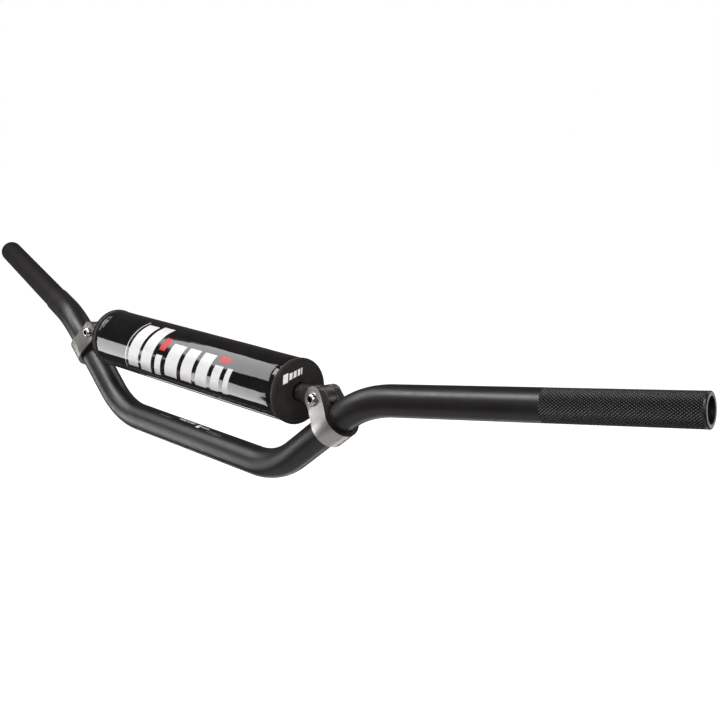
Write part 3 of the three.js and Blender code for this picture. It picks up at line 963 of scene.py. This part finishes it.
def gather(x, angle):
    """How far the cover stands out near its sewn ends: it rolls in, with puckers between the stitches."""
    inset = COVER_HALF - abs(x)
    side = 40.0 if x > 0 else 80.0
    roll = -0.75 * bell(inset, 2.2)
    spread_out = 0.6 + 0.9 * soft_noise(0, angle, 9, side)
    phase = 3.0 * soft_noise(0, angle, 14, side + 7)
    pucker = math.cos(CAP_STITCHES * angle + phase) * spread_out
    reach = 3.4 + 2.2 * soft_noise(0, angle, 7, side + 13)
    return roll + 0.17 * pucker * math.exp(-inset / max(reach, 1.2))


def crease(x, angle):
    """Short creases that follow the cover's sewn end at -X, high on its front."""
    inset = x + COVER_HALF
    sink = 0.0
    for at, depth, middle, width in CREASES:
        sink += depth * bell(inset - at, CREASE_BREADTH) * bell(angle - middle, width)
    return -sink


def cover_radius(x, angle):
    wave = 0.1 * soft_noise(x * 0.45, angle, 20, 3) + 0.035 * soft_noise(x, angle, 6.5, 11)
    return PAD_RADIUS - 0.05 + wave + gather(x, angle) + crease(x, angle)


def along_cover(half, fine=34, coarse=60):
    """Stations along the pad, closer together near its sewn ends."""
    inner = half - 16
    ends = spread(inner, half, fine)
    return [-x for x in reversed(ends)] + spread(-inner, inner, coarse)[1:-1] + ends


def solid_sheet(name, grid, thickness, material):
    """A closed body from a grid of outer points, thickened towards the pad's axis."""
    inner = []
    for row in grid:
        line = []
        for p in row:
            axis = Vector((p.x, 0, CROSSBAR_HEIGHT))
            line.append(p + (axis - p).normalized() * thickness)
        inner.append(line)
    points, faces = folded([list(outer) + list(reversed(below)) for outer, below in zip(grid, inner)])
    return make(name, points, faces, material, 50, at_pad())


def cover():
    angles = spread(CLOSURE + COVER_SLIT, CLOSURE + TAU - COVER_SLIT, 300)
    grid = [[pad_point(x, cover_radius(x, a), a) for a in angles] for x in along_cover(COVER_HALF)]
    obj = solid_sheet("pad_cover_skin", grid, COVER_THICKNESS, PRINTED)
    return settle(obj, "pad_shell", "gloss_vinyl", "pad_cover")


def foam_core():
    radius = PAD_RADIUS - COVER_THICKNESS - 0.35
    low, high = CLOSURE + FOAM_SLIT, CLOSURE + TAU - FOAM_SLIT
    rings = []
    for x in along_cover(COVER_HALF - 0.5, 10, 40):
        squeeze = FOAM_SQUEEZE * bell(COVER_HALF - abs(x), FOAM_SQUEEZE_REACH)
        outer, inner = [], []
        for a in spread(low, high, 120):
            near_slit = min(abs(a - low), abs(a - high))
            round_edge = 0.9 * bell(near_slit * radius, 1.2)
            dent = 0.12 * soft_noise(x, a, 12, 21) - 0.12
            outer.append(pad_point(x, radius - squeeze - round_edge + dent, a))
            inner.append(pad_point(x, PAD_HOLE + 0.05 * soft_noise(x, a, 6, 31), a))
        rings.append(outer + list(reversed(inner)))
    points, faces = folded(rings)
    obj = make("pad_foam_core", points, faces, FOAM, 50, at_pad())
    return settle(obj, "pad_core", "pad_foam", "pad_foam")


FLAP_ROWS = (CLOSURE + STRIP_HALF_ANGLE - 0.05, CLOSURE - STRIP_HALF_ANGLE + 0.05)


def flap_radius(x, angle):
    """The flap leaves the cover at its upper edge and lies on the tapes below."""
    lower, upper = CLOSURE - FLAP_HALF_ANGLE, CLOSURE + FLAP_HALF_ANGLE
    off_top = (upper - angle) * PAD_RADIUS
    off_free = (angle - lower) * PAD_RADIUS
    rise = smooth_step(off_top, 0, 3.2)
    radius = PAD_RADIUS + COVER_THICKNESS + 0.15 + 1.85 * rise
    wave = 0.28 * soft_noise(x * 0.5, angle, 13, 51) * math.exp(-off_free / 9)
    hem = 0.25 * bell(off_free - 1.0, 0.9)
    groove = sum(bell((angle - row) * PAD_RADIUS, 0.5) for row in FLAP_ROWS)
    if abs(x) > STRIP_HALF - 1:
        groove = 0
    curl = -0.35 * smooth_step(abs(x), STRIP_HALF + 2, COVER_HALF)
    return min(radius + wave + hem - 0.22 * groove + curl, PAD_RADIUS + 3.45)


def flap():
    grid = []
    angles = spread(CLOSURE - FLAP_HALF_ANGLE, CLOSURE + FLAP_HALF_ANGLE, 56)
    for x in along_cover(FLAP_HALF, 14, 90):
        row = []
        for a in angles:
            off_free = (a - angles[0]) * PAD_RADIUS
            short = 0.0
            if off_free < FLAP_CORNER:
                short = FLAP_CORNER - (FLAP_CORNER**2 - (FLAP_CORNER - off_free) ** 2) ** 0.5
            reach = x * (FLAP_HALF - short) / FLAP_HALF
            row.append(pad_point(reach, flap_radius(reach, a), a))
        grid.append(row)
    obj = solid_sheet("pad_flap", grid, COVER_THICKNESS, VINYL)
    return settle(obj, "pad_shell", "gloss_vinyl", "pad_closure_flap")


def tape(name, node, inner, seed):
    grid = []
    for x in spread(-STRIP_HALF, STRIP_HALF, 210):
        row = []
        for a in spread(CLOSURE - STRIP_HALF_ANGLE, CLOSURE + STRIP_HALF_ANGLE, 30):
            fuzz = 0.07 * noise.noise(Vector((x * 1.1, a * 26, seed)))
            row.append(pad_point(x, inner + TAPE_THICKNESS + fuzz, a))
        grid.append(row)
    obj = solid_sheet(name, grid, TAPE_THICKNESS, PILE)
    return settle(obj, "pad_shell", "loop_pile", node)


def cap(side, sign):
    """A round end panel with a rolled edge, a sewn ring, a lip round its hole and a slit."""
    columns = 216
    inner_x = PAD_HALF - CAP_THICKNESS
    hole = PAD_HOLE + 0.02
    profile = [(hole, inner_x + 0.3), (hole, PAD_HALF - 0.9)]
    for a in spread(0, QUARTER, 5):
        profile.append((hole + 0.8 * (1 - math.cos(a)), PAD_HALF - 0.9 + 0.85 * math.sin(a)))
    profile += [(PAD_HOLE + 1.9, PAD_HALF - 0.22), (PAD_HOLE + 3.2, PAD_HALF - 0.3)]
    for r in spread(11.5, 20.4, 8):
        profile.append((r, PAD_HALF - 0.28 + 0.24 * math.sin(math.pi * (r - 10) / 11.5)))
    sewn_ring = ((-0.5, 0.22), (-0.25, 0.42), (0, 0.5), (0.25, 0.4), (0.6, 0.14))
    profile += [(CAP_RADIUS - STITCH_INSET + out, PAD_HALF - sink) for out, sink in sewn_ring]
    for a in spread(QUARTER, 0, 9):
        profile.append((
            CAP_RADIUS - CAP_EDGE_RADIUS + CAP_EDGE_RADIUS * math.cos(a),
            PAD_HALF - CAP_EDGE_RADIUS + CAP_EDGE_RADIUS * math.sin(a) * 0.96,
        ))
    profile += [(CAP_RADIUS, inner_x + 0.45), (CAP_RADIUS - 0.35, inner_x + 0.1)]
    profile += [(CAP_RADIUS - 1.2, inner_x), (15.0, inner_x), (PAD_HOLE + 0.3, inner_x)]
    rings = []
    for radius, x in profile:
        ring = []
        on_face = x > PAD_HALF - 1.2
        for j in range(columns):
            off = j if j <= columns // 2 else j - columns
            a = CLOSURE + TAU * j / columns
            sink = 0.0
            if abs(off) <= 2:
                a = CLOSURE + math.copysign((0, 0.28, 0.7)[abs(off)], off) / radius
                if on_face:
                    sink = (0.55, 0.1, 0.0)[abs(off)]
            drift = 0.0
            if on_face:
                at = Vector((math.cos(a) * radius / 7, math.sin(a) * radius / 7, sign * 5))
                drift = 0.1 * noise.noise(at)
            rim = max(0.0, radius - CAP_RADIUS + 3.0) / 3.0
            crimp = 0.06 * rim * math.cos(CRIMPS * a + 2 * soft_noise(0, a, 12, 60 + sign))
            ring.append(pad_point(x - sink + drift * (1 - rim), radius + crimp, a))
        rings.append(ring)
    points, faces = skin(rings, looped=True)
    obj = make(f"pad_cap_{side}", points, faces, CAP, 50, at_pad(sign))
    return settle(obj, "pad_shell", "matt_fabric", f"pad_end_cap_{side}")


def piping(side, sign):
    count, columns = 20, 240
    rings = []
    for j in range(columns):
        a = TAU * j / columns
        wave = 0.05 * math.cos(CRIMPS * a) + 0.07 * soft_noise(0, a, 8, 70 + sign)
        middle = PIPING_MIDDLE - 0.1 + wave * 0.5
        r = PIPING_RADIUS + wave * 0.6
        ring = []
        for k in range(count):
            b = TAU * k / count
            ring.append(pad_point(PIPING_AT + r * math.cos(b), middle + r * math.sin(b), a))
        rings.append(ring)
    points, faces = skin(rings, looped=True)
    obj = make(f"pad_piping_roll_{side}", points, faces, PIPING, 60, at_pad(sign))
    return settle(obj, "pad_shell", "grey_piping", f"pad_piping_{side}")


def stitch_rings(path, radius, sides=8):
    """Rings of thread along one stitch's path, thinner at both ends."""
    rings = []
    last = len(path) - 1
    for i, p in enumerate(path):
        ahead = (path[min(i + 1, last)] - path[max(i - 1, 0)]).normalized()
        out = Vector((0, p.y, p.z - CROSSBAR_HEIGHT)).normalized()
        if abs(ahead.dot(out)) > 0.8:
            out = Vector((1, 0, 0))
        across = ahead.cross(out).normalized()
        out = across.cross(ahead)
        r = radius * (0.55 if i in (0, last) else 1.0)
        turns = [TAU * k / sides for k in range(sides)]
        rings.append([p + across * (r * math.cos(a)) + out * (r * math.sin(a)) for a in turns])
    return rings


def stitched(name, paths, radius, place=None):
    points, faces = [], []
    for path in paths:
        more, quads = capped(stitch_rings(path, radius))
        base = len(points)
        points += more
        faces += [tuple(base + i for i in face) for face in quads]
    obj = make(name, points, faces, THREAD, 60, place)
    return settle(obj, "pad_shell", "matt_fabric")


def cap_stitches(side, sign):
    pitch = TAU / CAP_STITCHES
    paths = []
    for i in range(CAP_STITCHES):
        path = []
        for t in spread(-0.36, 0.36, 6):
            depth = 0.5 * (abs(t) / 0.36) ** 4
            a = CLOSURE + pitch * (i + 0.5 + t)
            path.append(pad_point(PAD_HALF - 0.3 - depth, CAP_RADIUS - STITCH_INSET, a))
        paths.append(path)
    return stitched(f"pad_cap_stitches_{side}", paths, 0.26, at_pad(sign))


def flap_stitches():
    paths = []
    for row in FLAP_ROWS:
        for i in range(int(2 * (STRIP_HALF - 3) / FLAP_STITCH)):
            begin = -STRIP_HALF + 3 + FLAP_STITCH * i
            path = []
            for t in spread(0, 1, 6):
                x = begin + t * FLAP_STITCH * 0.78
                dive = 0.45 * (abs(t - 0.5) * 2) ** 4
                path.append(pad_point(x, flap_radius(x, row) + 0.12 - dive, row))
            paths.append(path)
    return stitched("pad_flap_stitches", paths, 0.24, at_pad())


bar_tube()
crossbar()
foam_core()
cover()
flap()
tape("pad_loop_tape", "pad_loop_strip", LOOP_INNER, 1.0)
tape("pad_hook_tape", "pad_hook_strip", HOOK_INNER, 9.0)
flap_stitches()
for side, sign in (("left", 1), ("right", -1)):
    lug(side, sign)
    collar(side, sign)
    bolt(side, sign)
    nut(side, sign)
    cap(side, sign)
    piping(side, sign)
    cap_stitches(side, sign)


# ---------- camera, floor and lights ----------

CAMERA_AT = Vector((728.5, -539.9, 239.1))
CAMERA_LENS = 58.33
FLOOR_HEIGHT = -0.32
FLOOR_REACH = 12
AMBIENT = 0.085
PAD_AIM = (0.05, -0.02, 0.06)
BAR_AIM = (0, 0, 0.05)
# Name, centre, aim, direction of the first size, sizes, radiance, and whether reflections show it
LIGHTS = (
    ("upper_box", (-0.572, -0.320, 0.491), PAD_AIM, (0, -0.8, -0.6), (0.64, 0.2), 4.4, True),
    ("lower_left_box", (-0.838, -0.413, -0.176), PAD_AIM, (0, 0.55, -0.84), (0.5, 0.15), 5.0, True),
    ("lower_right_box", (-0.618, -0.392, -0.357), PAD_AIM, (0, 0.7, -0.7), (0.48, 0.12), 5.0, True),
    ("rim_box", (-0.45, 0.5, -0.77), BAR_AIM, (1, 0, 0), (1.9, 0.2), 2.1, True),
    ("top_box", (-0.25, -0.75, 1.15), (0.15, 0, 0.05), (1, 0, 0), (0.9, 0.45), 8.5, True),
    ("front_box", (1.1, -1.5, 0.9), BAR_AIM, (1, 0.6, 0), (0.9, 0.9), 3.6, True),
    ("front_fill", (1.1, -1.5, 0.9), BAR_AIM, (1, 0.6, 0), (0.9, 0.9), 3.6, False),
    ("side_box", (1.65, -0.3, 0.25), (0.12, 0, 0.06), (0, 1, 0), (1.0, 0.9), 5.0, False),
    ("floor_box", (0.2, -0.12, -0.31), (0.2, -0.12, 0.0), (1, 0, 0), (0.7, 0.5), 0.35, True),
    ("back_box", (0.55, 1.15, 0.0), (0.4, 0.05, 0.1), (1, 0, 0), (0.5, 0.5), 1.4, True),
    ("back_fill", (-0.1, 1.4, 1.4), BAR_AIM, (1, 0, 0), (0.7, 0.8), 2.6, True),
    ("closure_box", (1.25, 1.05, 0.12), BAR_AIM, (0, 0, 1), (0.45, 0.6), 2.2, True),
)

camera = bpy.data.objects.new("camera", bpy.data.cameras.new("camera"))
bpy.context.scene.collection.objects.link(camera)
camera.data.sensor_width = 36
camera.data.lens = CAMERA_LENS
view_right = Vector((0.6921, 0.7192, 0.0612)).normalized()
view_back = Vector((0.7004, -0.6896, 0.1843)).normalized()
view_up = view_back.cross(view_right).normalized()
turned = Matrix((view_right, view_up, view_back)).transposed().to_4x4()
camera.matrix_world = Matrix.Translation(CAMERA_AT * MM) @ turned
bpy.context.scene.camera = camera

floor_look = Look("floor", (0.9, 0.9, 0.9), 0.8)
floor_look.color(floor_look.mix(floor_look.noise(400, 2), (0.88, 0.88, 0.88), (0.93, 0.93, 0.93)))
floor_look.shader.inputs["Emission Color"].default_value = (1, 1, 1, 1)
floor_look.shader.inputs["Emission Strength"].default_value = 0.95
marks = range(-FLOOR_REACH, FLOOR_REACH + 1)
floor_rows = [[Vector((x, y, FLOOR_HEIGHT)) / MM for x in marks] for y in marks]
floor_points, floor_faces = skin(floor_rows, closed=False)
floor = make("floor", floor_points, floor_faces, floor_look.material)
floor.visible_glossy = False
floor.visible_diffuse = False


def softbox(name, centre, aim, along, size, radiance):
    """An area light of a given radiance; its first size runs in the direction along."""
    data = bpy.data.lights.new(name, "AREA")
    data.shape = "RECTANGLE"
    data.size, data.size_y = size
    data.energy = radiance * math.pi * size[0] * size[1]
    light = bpy.data.objects.new(name, data)
    bpy.context.scene.collection.objects.link(light)
    back = (Vector(centre) - Vector(aim)).normalized()
    across = Vector(along)
    across = (across - back * across.dot(back)).normalized()
    turn = Matrix((across, back.cross(across), back)).transposed().to_4x4()
    light.matrix_world = Matrix.Translation(centre) @ turn
    light.visible_camera = False
    return light


def lit_world(ambient):
    """White to the camera, and a dim warm light to everything else."""
    world = bpy.data.worlds.new("studio")
    bpy.context.scene.world = world
    world.use_nodes = True
    tree = world.node_tree
    shader = tree.nodes["Background"]
    path = tree.nodes.new("ShaderNodeLightPath")
    mix = tree.nodes.new("ShaderNodeMix")
    mix.data_type = "RGBA"
    tree.links.new(path.outputs["Is Camera Ray"], mix.inputs["Factor"])
    mix.inputs["A"].default_value = (ambient, 0.87 * ambient, 0.83 * ambient, 1)
    mix.inputs["B"].default_value = (1, 1, 1, 1)
    tree.links.new(mix.outputs["Result"], shader.inputs["Color"])
    shader.inputs["Strength"].default_value = 1.0


lit_world(AMBIENT)
for *setting, reflected in LIGHTS:
    softbox(*setting).visible_glossy = reflected

bpy.context.scene.view_settings.view_transform = "Standard"
bpy.context.scene.view_settings.look = "None"
